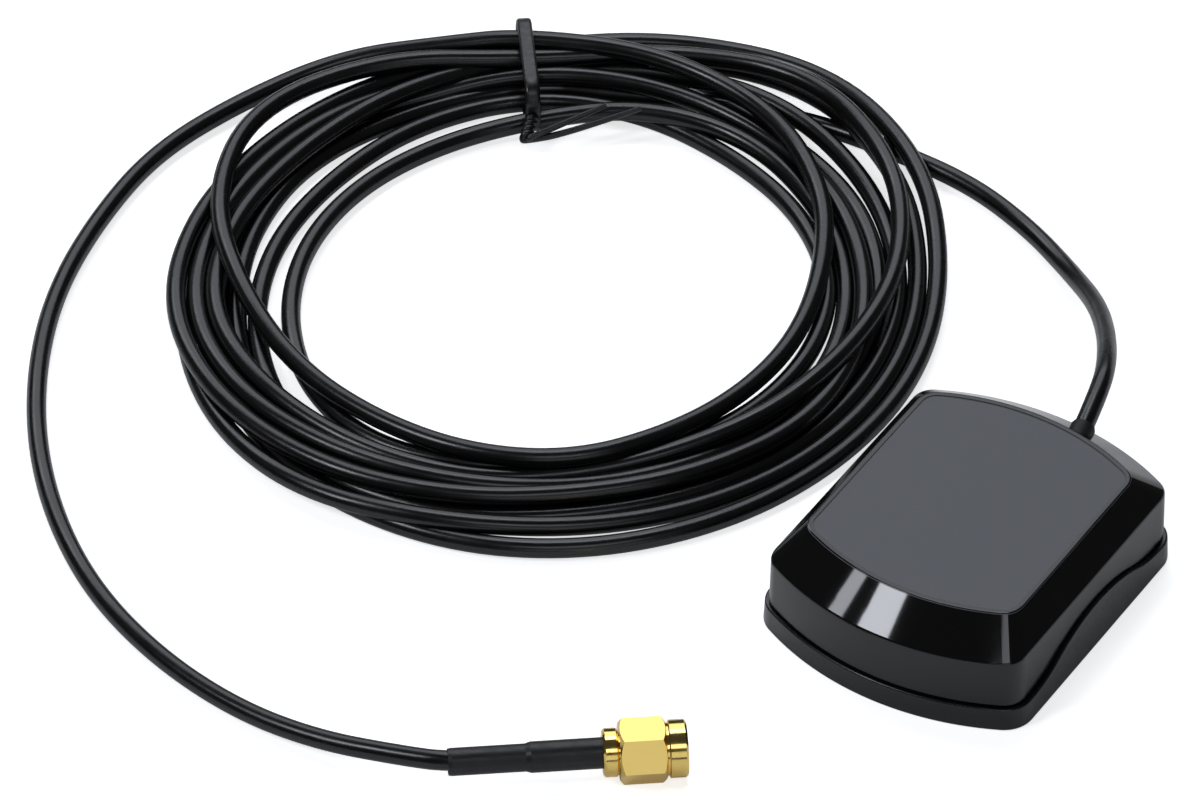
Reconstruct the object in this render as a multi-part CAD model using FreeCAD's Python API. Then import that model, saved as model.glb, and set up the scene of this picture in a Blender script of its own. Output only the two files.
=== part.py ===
"""Magnetic satellite-positioning antenna: a puck-shaped housing with a ceramic patch and
amplifier board inside, a thin coaxial lead coiled and tied beside it, and a threaded
coaxial plug on the lead's far end.

Row frame: millimetres, +Z up, +Y towards the end of the puck that the lead leaves,
origin at the centre of the puck's base on the surface it stands on.
"""
import FreeCAD
import Part
import math
import os

V = FreeCAD.Vector
UP = V(0, 0, 1)

# ---- gaps between pieces that stay put, from tight to loose
SLIP = 0.01
SNUG = 0.02
EASY = 0.05
LOOSE = 0.15

# ---- housing: each outline is half width, half length at the middle of the curved end,
# ---- radius of the curved end, radius of the vertical corners
BASE_FOOT = (20.9, 26.35, 40.7, 4.6)
BASE_TOP = (20.35, 26.2, 40.5, 4.4)
BASE_TOP_Z = 8.0
WALL_FOOT = (20.05, 25.8, 40.1, 3.7)
BEVEL_FOOT = (19.73, 25.65, 39.8, 3.4)
BEVEL_FOOT_Z = 11.6
PANEL_EDGE = (16.56, 20.22, 34.6, 3.2)
HEIGHT = 16.0

WALL = 1.6                 # moulded wall of the top cover
CEILING_Z = 14.4           # underside of the top panel
CEILING = (15.3, 19.0, 33.4, 2.2)
SHOULDER_Z = 11.2          # inside corner between wall and bevel
PANEL_RIM = 0.65           # polished rim left round the textured panel
PANEL_SINK = 0.12
BEVEL_EDGE_ROUND = 0.6
PANEL_EDGE_ROUND = 0.3
COVER_RIM_ROUND = 0.25     # moulded rounds along the seam and round the foot
BASE_RIM_ROUND = 0.3
BASE_FOOT_ROUND = 0.35

# ---- seam: low along the curved ends, arched in the middle of the long sides
SEAM_Z = 3.8
ARCH_RISE = 3.6
ARCH_HALF_SPAN = 17.5
ARCH_CROWN_RADIUS = 27.0
SEAM_GAP = 0.15
TONGUE_OUT = 2.0           # inset of the base's tongue from the wall foot, outer and inner face
TONGUE_IN = 3.1
TONGUE_RISE = 1.5

# ---- base
PAD_THICK = 0.5
PAD_INSET = 2.0
PAD_SPARE = 0.1
FLOOR_Z = 2.0
SEAL_OUT = 0.45            # inset of the seal's outer and inner face from the wall foot
SEAL_IN = 1.15
SEAL_HALF = 0.45
SEAL_SPARE = 0.03
MAGNET_RADIUS = 6.0
MAGNET_THICK = 2.2
MAGNET_Y = 9.5
MAGNET_CHAMFER = 0.3
MAGNET_SPARE = 0.08
CUP_WALL = 1.1             # wall of the cup that holds a magnet, and how far the magnet stands out of it
CUP_BELOW = 0.2
SCREW_X = 13.8
SCREW_Y = 17.2
SCREW_PAD_RADIUS = 2.8
SCREW_PAD_Z = 3.3
BOSS_RADIUS = 2.1
POST_X = 14.8
POST_Y = 8.0
POST_RADIUS = 1.5
ROOT = 0.3                 # how far a pillar runs into the wall it grows from

# ---- screws
SHANK_RADIUS = 0.95
SHANK_TOP_Z = 8.0
HEAD_RADIUS = 1.7
HEAD_THICK = 1.0
HEAD_Z = 0.6
SLOT = (0.25, 1.1, 0.5)    # cross recess: half width, half length, depth
HOLE_BEYOND = 0.6          # depth of the hole past the screw's tip

# ---- board and antenna
BOARD_Z = 8.2
BOARD_THICK = 1.0
BOARD_HALF_WIDTH = 16.6
BOARD_HALF_LENGTH = 21.0
BOARD_NOTCH_X = 11.2
BOARD_NOTCH_Y = 14.6
PATCH_SIZE = 25.0
PATCH_THICK = 4.0
PATCH_Y = -2.0
GLUE_THICK = 0.15
SILVER_THICK = 0.06
GLUE_SIZE = 24.0
GLUE_HOLE = 1.6
GROUND_SIZE = 24.4
GROUND_HOLE = 1.4
CERAMIC_ROUND = 0.4
ELECTRODE_SIZE = 21.4
CORNER_CUT = 1.2           # half the square cut off two opposite corners of the electrode
FEED_X = 2.1
FEED_RADIUS = 0.45
FEED_SPARE = 0.1
FEED_BELOW = 0.7           # how far the pin comes out under the board
FEED_HEAD_RADIUS = 1.1
FEED_HEAD_THICK = 0.4
FEED_HEAD_ROUND = 0.3
CAN_SIZE = (22.0, 20.0, 2.6)
CAN_SHEET = 0.25
CAN_CORNER = 1.2

# ---- parts under the board: places as x, y, and sizes as length, width, depth
AMPLIFIERS_AT = ((-6.5, 2.0), (0.0, 2.0))
AMPLIFIER_SIZE = (2.0, 2.0, 0.8)
FILTER_AT = (-3.2, -4.4)
FILTER_SIZE = (3.0, 3.0, 1.2)
REGULATOR_AT = (6.0, 3.0)
REGULATOR_SIZE = (2.9, 1.4, 1.1)
LEGS_AT = ((5.05, 2.0), (6.95, 2.0), (6.0, 4.0))
LEG_SIZE = (0.4, 0.7, 0.3)
CAPACITORS_X = (-8.0, -5.5, -1.0, 2.6, 5.0, 7.6)
CAPACITORS_Y = (-8.5, 5.4)
CAPACITOR_SIZE = (1.0, 0.5, 0.5)
INDUCTORS_AT = ((3.0, -4.4), (8.2, -0.6))
INDUCTOR_SIZE = (1.6, 0.8, 0.8)

# ---- coaxial lead
CABLE_RADIUS = 1.4
BRAID_RADIUS = 0.95
DIELECTRIC_RADIUS = 0.76
CONDUCTOR_RADIUS = 0.24
GLAND_OUT = 0.8            # the gland's nose stands this far out of the middle of the lead's hole
GLAND_RADIUS = 1.75
GLAND_NOSE = 0.35          # length of the thinner nose, and how much thinner it is
NOSE_STEP = 0.15
GLAND_SPARE = 0.03
FLANGE_STEP = 0.6
# where each layer ends inside the housing, outwards of the middle of the lead's hole
GLAND_BACK = -3.2
FLANGE_BACK = -4.0
JACKET_BACK = -6.0
BRAID_BACK = -8.6
DIELECTRIC_BACK = -10.2
CORE_BACK = -11.8

# ---- solder: radius at the foot and at the tip of each cone
FEED_JOINT = (1.0, 0.6)
FEED_JOINT_DEEP = 0.6
CORE_JOINT = (0.9, 0.4)
CORE_JOINT_OVER = 0.4      # how far the solder covers the inner conductor
BRAID_JOINT = (1.7, 1.1)
CORE_JOINT_AT = -11.4
BRAID_JOINT_AT = -7.6

# ---- the lead's route, from the gland to the coil and from the coil to the plug
LEAD_ROUTE = [
    (4.5, 23.35, 14.1), (3.4, 29.6, 15.6), (0.8, 36.2, 14.5), (-4.2, 45.0, 11.0), (-10.5, 53.5, 7.2),
    (-19.0, 61.5, 3.0), (-29.8, 68.3, 1.5), (-42.0, 72.3, 1.5), (-56.0, 72.8, 1.5),
]
FREE_ROUTE = [
    (-120.0, 53.5, 6.2), (-133.0, 45.0, 3.8), (-141.5, 30.5, 1.8), (-145.5, 14.5, 1.5), (-144.0, -2.0, 1.5),
    (-140.0, -18.0, 1.5), (-133.0, -32.5, 1.5), (-123.5, -46.0, 1.5), (-112.0, -57.5, 1.5),
    (-99.0, -66.5, 1.5), (-84.5, -72.3, 1.5), (-70.0, -74.9, 1.5), (-57.0, -74.6, 2.2),
    (-45.0, -72.0, 3.4), (-38.6, -70.1, 4.0), (-33.9, -66.5, 4.0),
]

# ---- coil: centre, and where the tie binds it, as an angle from +X
COIL_CENTRE = V(-79.1, 18.7, 0)
TIE_ANGLE = 127.0
COIL_HEIGHT = 8.6
COIL_ROUND = 2.2
# eight stations 45 degrees apart from the tie, the way the lead is wound
COIL_OUTER = (55.0, 60.8, 56.0, 55.8, 53.6, 53.6, 57.0, 60.5)
COIL_INNER = (38.8, 36.0, 35.6, 32.8, 33.2, 30.6, 36.4, 37.8)

# ---- tie: a plastic-coated wire strip round the bundle
TIE_WIDTH = 2.2
TIE_THICK = 0.8
TIE_NEAR = 37.6            # inner face of the loop, nearest and farthest from the coil's centre
TIE_FAR = 55.6
TIE_TOP = 8.4
TIE_CORNER = 2.4
TAIL_ROOT = 0.15           # where the tails leave the knot, as a part of its length from the far end
KNOT_RADIUS = 1.3
KNOT = ((0.0, 37.5, 4.6), (2.5, 32.8, 3.8))                # each end: degrees from the tie, radius, height
TAIL_ENDS = ((-16.5, 36.4, 7.0), (-24.5, 36.4, 7.4))
TAIL_RADIUS = 0.5

# ---- plug, along its own axis from the sleeve's cable end; the axis carries on the lead's last run
BEND_IN_SLEEVE = 0.3       # the lead's last corner lies this far inside the sleeve
JACKET_END = 11.2
SLEEVE_STEP = 10.4
SLEEVE_END = 20.7
SLEEVE_RADIUS = 1.9
SLEEVE_WIDE_RADIUS = 2.12
SLEEVE_TAPER = 0.7         # length of the step from the cable to the ferrule
SLEEVE_SHEET = 0.2         # how much further on the step lies inside the sleeve than outside
MOUTH_LIP = (0.5, 0.08)    # round at the sleeve's mouth: length, depth
CABLE_BORE = 1.42
MOUTH_BORE = 1.74
MOUTH_DEEP = 3.8
FERRULE_START = 11.4
FERRULE_RADIUS = 1.86
FERRULE_BORE = 1.5
FERRULE_GAP = 0.1          # between the ferrule and the body's collar
BRAID_GAP = 0.3
STEM_RADIUS = 1.3
STEM_BORE = 0.8
STEM_START = 12.6
TURNED_EDGE = 0.3          # chamfer on the turned edges
COLLAR_END = 22.8
COLLAR_RADIUS = 3.3
NECK_RADIUS = 2.45
NUT_CLEARANCE = 0.05
NUT_START = 22.9
NUT_HEX_END = 29.2
NUT_END = 32.0
NUT_FLATS = 8.0
NUT_RING_RADIUS = 3.93
NUT_CHAMFER = (0.55, 0.75)  # on the hexagon's corners: along the axis, across it
NUT_NECK = 0.35            # groove between hexagon and ring, as deep as it is below the ring
NUT_NECK_END = 0.45
THREAD_START = 26.3
THREAD_RADIUS = 2.85
THREAD_PITCH = 0.706
THREAD_DEPTH = 0.32
THREAD_RELIEF = 3.1
THREAD_LEAD = 1.1          # smooth stretch before the first turn, and the cone at its end
THREAD_CONE = 0.25
THREAD_LAST = 0.2
MOUTH_CHAMFER = (0.35, 0.45)
RING_START = 24.6
RING_END = 25.2
RING_HALF = 0.3            # half the ring's section, and its gap to the groove's sides
RING_SPARE = 0.04
RING_SLIT = 0.5
BODY_GROOVE = 0.35
NUT_GROOVE = 0.4
FACE = 29.0                # plane where the plug's outer contact meets the jack
LIP_RADIUS = 2.3
BODY_BORE_START = 21.5
INSULATOR_START = 21.6
DIELECTRIC_END = 21.9
BARREL_START = 22.0
CONDUCTOR_END = 24.5
CUP_END = 24.6             # bottom of the bore that the inner conductor is soldered in
BARREL_END = 28.0
GASKET_LENGTH = 0.85
GASKET_SPARE = 0.08
INSULATOR_RADIUS = 2.02
PIN_RADIUS = 0.455
PIN_NECK = 0.26            # thinner stretch that the insulator grips
PIN_END = 31.6
PIN_NOSE = (0.35, 0.2)     # chamfer on the pin's tip: along the axis, across it
BARREL_RADIUS = 0.64

REACH = 60.0               # longer than the puck in every direction, for cutting blocks


def save(name, shape):
    """Write one node and print its size, so that a broken solid shows at once."""
    box = shape.optimalBoundingBox(False)
    print("%-20s solids %2d  volume %10.2f  x %.1f..%.1f y %.1f..%.1f z %.2f..%.2f %s" % (
        name, len(shape.Solids), shape.Volume, box.XMin, box.XMax, box.YMin, box.YMax,
        box.ZMin, box.ZMax, "" if shape.isValid() else "NOT VALID"))
    shape.exportStep("parts/%s.step" % name)


def inset(outline, by):
    """The same outline drawn parallel, further in."""
    half_width, half_length, end_radius, corner = outline
    return half_width - by, half_length - by, end_radius - by, max(corner - by, 0.5)


def outline_wire(outline, z):
    """Straight long sides, curved ends and round corners, all tangent."""
    half_width, half_length, end_radius, corner = outline
    arc_y = half_length - end_radius
    corner_x = half_width - corner
    corner_y = arc_y + math.sqrt((end_radius - corner) ** 2 - corner_x ** 2)
    turn = math.atan2(corner_y - arc_y, corner_x)

    def corner_point(sx, sy, angle):
        return V(sx * (corner_x + corner * math.cos(angle)),
                 sy * (corner_y + corner * math.sin(angle)), z)

    def end_point(sy):
        return V(0, sy * half_length, z)

    edges = []
    for sx, sy in ((1, 1), (-1, -1)):
        a = corner_point(sx, -sy, 0)
        b = corner_point(sx, sy, 0)
        c = corner_point(sx, sy, turn / 2)
        d = corner_point(sx, sy, turn)
        e = corner_point(-sx, sy, turn)
        f = corner_point(-sx, sy, turn / 2)
        g = corner_point(-sx, sy, 0)
        edges.append(Part.LineSegment(a, b).toShape())
        edges.append(Part.Arc(b, c, d).toShape())
        edges.append(Part.Arc(d, end_point(sy), e).toShape())
        edges.append(Part.Arc(e, f, g).toShape())
    return Part.Wire(edges)


def loft(lower, z0, upper, z1):
    return Part.makeLoft([outline_wire(lower, z0), outline_wire(upper, z1)], True, True)


def prism(outline, z0, z1):
    return Part.Face(outline_wire(outline, z0)).extrude(V(0, 0, z1 - z0))


def cylinder(x, y, z0, z1, radius):
    return Part.makeCylinder(radius, z1 - z0, V(x, y, z0))


def box(x0, y0, z0, x1, y1, z1):
    return Part.makeBox(x1 - x0, y1 - y0, z1 - z0, V(x0, y0, z0))


def corners(x, y):
    return [(sx * x, sy * y) for sx in (-1, 1) for sy in (-1, 1)]


def joined(shapes):
    whole = shapes[0].multiFuse(shapes[1:]) if len(shapes) > 1 else shapes[0]
    return whole.removeSplitter()


def below_seam(shift):
    """Everything under the seam surface moved up by shift."""
    slope = 2 * math.atan2(ARCH_RISE, ARCH_HALF_SPAN)
    foot_radius = ARCH_HALF_SPAN / math.sin(slope) - ARCH_CROWN_RADIUS
    low = SEAM_Z + shift
    crown_z = low + ARCH_RISE - ARCH_CROWN_RADIUS

    def crown(angle):
        return V(-REACH, ARCH_CROWN_RADIUS * math.sin(angle), crown_z + ARCH_CROWN_RADIUS * math.cos(angle))

    def foot(side, angle):
        return V(-REACH, side * (ARCH_HALF_SPAN - foot_radius * math.sin(angle)),
                 low + foot_radius * (1 - math.cos(angle)))

    edges = [
        Part.LineSegment(V(-REACH, -REACH, -REACH), V(-REACH, -REACH, low)).toShape(),
        Part.LineSegment(V(-REACH, -REACH, low), foot(-1, 0)).toShape(),
        Part.Arc(foot(-1, 0), foot(-1, slope / 2), foot(-1, slope)).toShape(),
        Part.Arc(crown(-slope), crown(0), crown(slope)).toShape(),
        Part.Arc(foot(1, slope), foot(1, slope / 2), foot(1, 0)).toShape(),
        Part.LineSegment(foot(1, 0), V(-REACH, REACH, low)).toShape(),
        Part.LineSegment(V(-REACH, REACH, low), V(-REACH, REACH, -REACH)).toShape(),
        Part.LineSegment(V(-REACH, REACH, -REACH), V(-REACH, -REACH, -REACH)).toShape(),
    ]
    return Part.Face(Part.Wire(edges)).extrude(V(2 * REACH, 0, 0))


def seal_band(spare):
    """The seal's ring in its grooves; spare widens it into the grooves themselves."""
    outer = prism(inset(WALL_FOOT, SEAL_OUT - spare), 0, REACH)
    inner = prism(inset(WALL_FOOT, SEAL_IN + spare), 0, REACH)
    middle = SEAM_GAP / 2
    slab = below_seam(middle + SEAL_HALF + spare).cut(below_seam(middle - SEAL_HALF - spare))
    return outer.cut(inner).common(slab)


def exit_axis():
    """The lead's first run, produced back into the housing: middle of the hole, and direction outwards."""
    first, second = V(*LEAD_ROUTE[0]), V(*LEAD_ROUTE[1])
    out = (second - first).normalize()
    return first - out * GLAND_OUT, out


def along_exit(start, end, radius):
    """A cylinder on the lead's exit axis between two distances outwards of the hole's middle."""
    centre, out = exit_axis()
    return Part.makeCylinder(radius, end - start, centre + out * start, out)


def lead_hole():
    return along_exit(BRAID_BACK, -BRAID_BACK, GLAND_RADIUS + GLAND_SPARE)


def top_cover():
    wall = loft(WALL_FOOT, 0, BEVEL_FOOT, BEVEL_FOOT_Z)
    bevel = loft(BEVEL_FOOT, BEVEL_FOOT_Z, PANEL_EDGE, HEIGHT)
    outside = wall.fuse(bevel)
    bevel_edges = [e for e in outside.Edges if abs(e.BoundBox.ZMin - BEVEL_FOOT_Z) < 1e-4
                   and abs(e.BoundBox.ZMax - BEVEL_FOOT_Z) < 1e-4]
    outside = outside.makeFillet(BEVEL_EDGE_ROUND, bevel_edges)
    panel_edges = [e for e in outside.Edges if e.BoundBox.ZMin > HEIGHT - 1e-4]
    outside = outside.makeFillet(PANEL_EDGE_ROUND, panel_edges)
    upper = outside.cut(below_seam(SEAM_GAP))
    rim_edges = [e for e in upper.Edges if e.BoundBox.ZMin > SEAM_Z and e.BoundBox.ZMax < BASE_TOP_Z]
    upper = upper.makeFillet(COVER_RIM_ROUND, rim_edges)
    inside = loft(inset(WALL_FOOT, WALL), 0, inset(BEVEL_FOOT, WALL), SHOULDER_Z).fuse(
        loft(inset(BEVEL_FOOT, WALL), SHOULDER_Z, CEILING, CEILING_Z))
    shell = upper.cut(inside)
    pillars = []
    for x, y in corners(SCREW_X, SCREW_Y):
        pillars.append(cylinder(x, y, SCREW_PAD_Z + EASY, CEILING_Z + ROOT, BOSS_RADIUS))
    for x, y in corners(POST_X, POST_Y):
        pillars.append(cylinder(x, y, BOARD_Z + BOARD_THICK, CEILING_Z + ROOT, POST_RADIUS))
    shell = shell.multiFuse([p.common(outside) for p in pillars])
    for x, y in corners(SCREW_X, SCREW_Y):
        shell = shell.cut(cylinder(x, y, 0, SHANK_TOP_Z + HOLE_BEYOND, SHANK_RADIUS + SNUG))
    panel = prism(inset(PANEL_EDGE, PANEL_RIM), HEIGHT - PANEL_SINK, HEIGHT + 1)
    shell = shell.cut(panel)
    shell = shell.cut(seal_band(SEAL_SPARE))
    return shell.cut(lead_hole()).removeSplitter()


def base_cover():
    outside = loft(BASE_FOOT, 0, BASE_TOP, BASE_TOP_Z).common(below_seam(0))
    outside = outside.makeFillet(BASE_RIM_ROUND, [e for e in outside.Edges if e.BoundBox.ZMin > SEAM_Z - 0.1])
    outside = outside.makeFillet(BASE_FOOT_ROUND, [e for e in outside.Edges if e.BoundBox.ZMax < 0.01])
    floor_space = prism(inset(WALL_FOOT, TONGUE_IN), FLOOR_Z, REACH)
    tongue = prism(inset(WALL_FOOT, TONGUE_OUT), FLOOR_Z - ROOT, REACH).common(below_seam(TONGUE_RISE))
    shell = outside.fuse(tongue).cut(floor_space)
    extra = []
    for x, y in corners(SCREW_X, SCREW_Y):
        extra.append(cylinder(x, y, FLOOR_Z - ROOT, SCREW_PAD_Z, SCREW_PAD_RADIUS))
    for x, y in corners(POST_X, POST_Y):
        extra.append(cylinder(x, y, FLOOR_Z - ROOT, BOARD_Z, POST_RADIUS))
    for side in (-1, 1):
        cup = cylinder(0, side * MAGNET_Y, FLOOR_Z - ROOT, FLOOR_Z + MAGNET_THICK - CUP_BELOW,
                       MAGNET_RADIUS + CUP_WALL)
        extra.append(cup.cut(cylinder(0, side * MAGNET_Y, FLOOR_Z, REACH, MAGNET_RADIUS + MAGNET_SPARE)))
    shell = shell.multiFuse(extra)
    for x, y in corners(SCREW_X, SCREW_Y):
        shell = shell.cut(cylinder(x, y, 0, REACH, SHANK_RADIUS + LOOSE))
        shell = shell.cut(cylinder(x, y, 0, HEAD_Z + HEAD_THICK, HEAD_RADIUS + LOOSE))
    shell = shell.cut(prism(inset(BASE_FOOT, PAD_INSET), -1, PAD_THICK))
    return shell.cut(seal_band(SEAL_SPARE)).removeSplitter()


def base_pad():
    return prism(inset(BASE_FOOT, PAD_INSET + PAD_SPARE), 0, PAD_THICK - SNUG)


def base_screws():
    half_width, half_length, depth = SLOT
    screws = []
    for x, y in corners(SCREW_X, SCREW_Y):
        head = cylinder(x, y, HEAD_Z, HEAD_Z + HEAD_THICK - SNUG, HEAD_RADIUS)
        for turn in (0, 90):
            slot = box(-half_width, -half_length, HEAD_Z, half_width, half_length, HEAD_Z + depth)
            slot.rotate(V(0, 0, 0), UP, turn)
            head = head.cut(slot.translated(V(x, y, 0)))
        shank = cylinder(x, y, HEAD_Z + depth, SHANK_TOP_Z, SHANK_RADIUS)
        screws.append(head.fuse(shank).removeSplitter())
    return Part.makeCompound(screws)


def magnet(side):
    disc = cylinder(0, side * MAGNET_Y, FLOOR_Z, FLOOR_Z + MAGNET_THICK, MAGNET_RADIUS)
    return disc.makeChamfer(MAGNET_CHAMFER, [e for e in disc.Edges if e.Curve.TypeId == "Part::GeomCircle"])


def feed_hole(radius):
    return cylinder(FEED_X, PATCH_Y, 0, REACH, radius)


def circuit_board():
    board = box(-BOARD_HALF_WIDTH, -BOARD_HALF_LENGTH, BOARD_Z,
                BOARD_HALF_WIDTH, BOARD_HALF_LENGTH, BOARD_Z + BOARD_THICK)
    for sx, sy in corners(1, 1):
        xs = sorted((sx * BOARD_NOTCH_X, sx * REACH))
        ys = sorted((sy * BOARD_NOTCH_Y, sy * REACH))
        board = board.cut(box(xs[0], ys[0], 0, xs[1], ys[1], REACH))
    return board.cut(feed_hole(FEED_RADIUS + FEED_SPARE))


def square_layer(size, z0, z1, hole):
    layer = box(-size / 2, PATCH_Y - size / 2, z0, size / 2, PATCH_Y + size / 2, z1)
    return layer.cut(feed_hole(hole))


def antenna_stack():
    """Glue, ground silver, ceramic and top silver, from the board up, with their heights."""
    glue_z = BOARD_Z + BOARD_THICK
    ground_z = glue_z + GLUE_THICK
    ceramic_z = ground_z + SILVER_THICK
    silver_z = ceramic_z + PATCH_THICK
    ceramic = square_layer(PATCH_SIZE, ceramic_z, silver_z, FEED_RADIUS + FEED_SPARE)
    upright = [e for e in ceramic.Edges if abs(e.BoundBox.ZLength - PATCH_THICK) < 1e-4
               and e.Curve.TypeId == "Part::GeomLine" and abs(abs(e.BoundBox.XMin) - PATCH_SIZE / 2) < 1e-4]
    ceramic = ceramic.makeFillet(CERAMIC_ROUND, upright)
    silver = square_layer(ELECTRODE_SIZE, silver_z, silver_z + SILVER_THICK, FEED_RADIUS + EASY)
    corner = ELECTRODE_SIZE / 2
    for sx in (-1, 1):
        cut = box(-CORNER_CUT, -CORNER_CUT, 0, CORNER_CUT, CORNER_CUT, REACH)
        cut.rotate(V(0, 0, 0), UP, 45)
        silver = silver.cut(cut.translated(V(sx * corner, PATCH_Y + sx * corner, 0)))
    return {
        "patch_adhesive": square_layer(GLUE_SIZE, glue_z, ground_z, GLUE_HOLE),
        "patch_ground": square_layer(GROUND_SIZE, ground_z, ceramic_z, GROUND_HOLE),
        "ceramic_patch": ceramic,
        "patch_electrode": silver,
    }, silver_z + SILVER_THICK


def feed_pin(head_z):
    pin = cylinder(FEED_X, PATCH_Y, BOARD_Z - FEED_BELOW, head_z + EASY, FEED_RADIUS)
    head = cylinder(FEED_X, PATCH_Y, head_z, head_z + FEED_HEAD_THICK, FEED_HEAD_RADIUS)
    top_edge = [e for e in head.Edges if e.BoundBox.ZMin > head_z + FEED_HEAD_THICK / 2]
    return pin.fuse(head.makeFillet(FEED_HEAD_ROUND, top_edge)).removeSplitter()


def shield_can():
    length, width, depth = CAN_SIZE

    def rounded(sheet, z0, z1):
        block = box(-length / 2 + sheet, PATCH_Y - width / 2 + sheet, z0,
                    length / 2 - sheet, PATCH_Y + width / 2 - sheet, z1)
        return block.makeFillet(CAN_CORNER - sheet, [e for e in block.Edges if e.BoundBox.ZLength > 1])

    can = rounded(0, BOARD_Z - depth, BOARD_Z)
    return can.cut(rounded(CAN_SHEET, BOARD_Z - depth + CAN_SHEET, BOARD_Z + 1))


def under_board(at, size):
    """One part hanging under the board, centred at x, y."""
    x, y = at
    length, width, depth = size
    return box(x - length / 2, y - width / 2, BOARD_Z - depth, x + length / 2, y + width / 2, BOARD_Z)


def board_parts():
    """Everything soldered under the board, inside the shield can."""
    legs = [under_board(at, LEG_SIZE) for at in LEGS_AT]
    capacitors = [under_board((x, y), CAPACITOR_SIZE) for x in CAPACITORS_X for y in CAPACITORS_Y]
    return {
        "amplifier_chips": Part.makeCompound([under_board(at, AMPLIFIER_SIZE) for at in AMPLIFIERS_AT]),
        "saw_filter": under_board(FILTER_AT, FILTER_SIZE),
        "voltage_regulator": joined([under_board(REGULATOR_AT, REGULATOR_SIZE)] + legs),
        "chip_capacitors": Part.makeCompound(capacitors),
        "chip_inductors": Part.makeCompound([under_board(at, INDUCTOR_SIZE) for at in INDUCTORS_AT]),
    }


def layer_on_exit(back, radius, bore):
    """One layer of the lead from the gland's nose back to where it is stripped."""
    return along_exit(back, GLAND_OUT, radius).cut(along_exit(back - 1, GLAND_OUT + 1, bore))


def cable_inside():
    """The lead's end inside the housing, stripped in steps down to the board."""
    gland = along_exit(GLAND_BACK, GLAND_OUT - GLAND_NOSE, GLAND_RADIUS)
    gland = gland.fuse(along_exit(GLAND_BACK, GLAND_OUT, GLAND_RADIUS - NOSE_STEP))
    gland = gland.fuse(along_exit(FLANGE_BACK, GLAND_BACK, GLAND_RADIUS + FLANGE_STEP))
    gland = gland.cut(along_exit(FLANGE_BACK - 1, GLAND_OUT + 1, CABLE_RADIUS + SNUG))
    gland = gland.cut(top_cover_block())
    return {
        "cable_gland": gland.removeSplitter(),
        "cable_tail": layer_on_exit(JACKET_BACK, CABLE_RADIUS, BRAID_RADIUS),
        "cable_braid": layer_on_exit(BRAID_BACK, BRAID_RADIUS, DIELECTRIC_RADIUS),
        "cable_dielectric": layer_on_exit(DIELECTRIC_BACK, DIELECTRIC_RADIUS, CONDUCTOR_RADIUS),
        "cable_conductor": along_exit(CORE_BACK, GLAND_OUT, CONDUCTOR_RADIUS),
    }


def top_cover_block():
    """The solid wall round the lead's hole, without the hole, so that the gland's inner flange clears it."""
    wall = loft(BEVEL_FOOT, BEVEL_FOOT_Z, PANEL_EDGE, HEIGHT).cut(
        loft(inset(BEVEL_FOOT, WALL), SHOULDER_Z, CEILING, CEILING_Z))
    return wall.cut(lead_hole())


def solder_joints(pieces):
    """Joints at the feed pin, the braid and the inner conductor, formed round those pieces."""
    board_top = BOARD_Z + BOARD_THICK
    centre, out = exit_axis()
    tip = centre + out * CORE_JOINT_AT
    braid = centre + out * BRAID_JOINT_AT
    feed = Part.makeCone(*FEED_JOINT, FEED_JOINT_DEEP, V(FEED_X, PATCH_Y, BOARD_Z), -UP)
    core = Part.makeCone(*CORE_JOINT, tip.z - board_top + CORE_JOINT_OVER, V(tip.x, tip.y, board_top))
    shield = Part.makeCone(*BRAID_JOINT, braid.z - board_top, V(braid.x, braid.y, board_top))
    joints = []
    for blob in (feed, core, shield):
        for piece in pieces:
            blob = blob.cut(piece)
        joints.append(blob.Solids[0])
    return Part.makeCompound(joints)


def tangent_path(points):
    """Straight runs joined by tangent arcs, and the least arc radius on the way."""
    edges = []
    least = None
    start = V(*points[0])
    for before, at, after in zip(points, points[1:], points[2:]):
        before, at, after = V(*before), V(*at), V(*after)
        shorter = min((at - before).Length, (after - at).Length)
        back = (before - at).normalize()
        ahead = (after - at).normalize()
        turn = math.pi - back.getAngle(ahead)
        reach = 0.45 * shorter
        radius = reach / math.tan(turn / 2)
        print("   turn %5.1f deg, radius %6.1f mm, runs %5.1f and %5.1f mm" % (
            math.degrees(turn), radius, (at - before).Length, (after - at).Length))
        least = radius if least is None else min(least, radius)
        middle = (back + ahead).normalize()
        centre_reach = math.hypot(radius, reach)
        first, last = at + back * reach, at + ahead * reach
        edges.append(Part.LineSegment(start, first).toShape())
        edges.append(Part.Arc(first, at + middle * (centre_reach - radius), last).toShape())
        start = last
    edges.append(Part.LineSegment(start, V(*points[-1])).toShape())
    return Part.Wire(edges), least


def cable_tube(name, points):
    path, least = tangent_path(points)
    direction = path.Edges[0].tangentAt(path.Edges[0].FirstParameter)
    section = Part.Wire([Part.Circle(V(*points[0]), direction, CABLE_RADIUS).toShape()])
    tube = path.makePipeShell([section], True, False)
    expected = math.pi * CABLE_RADIUS ** 2 * path.Length
    print("%s: length %.1f mm, least radius %.1f mm, volume %.1f against %.1f" % (
        name, path.Length, least, tube.Volume, expected))
    return tube


def coil_point(angle_from_tie, radius, z):
    angle = math.radians(TIE_ANGLE + angle_from_tie)
    return COIL_CENTRE + V(radius * math.cos(angle), radius * math.sin(angle), z)


def coil_loop(radii):
    points = [coil_point(45 * k, r, 0) for k, r in enumerate(radii)]
    curve = Part.BSplineCurve()
    curve.interpolate(Points=points, PeriodicFlag=True)
    return Part.Wire([curve.toShape()])


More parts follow.
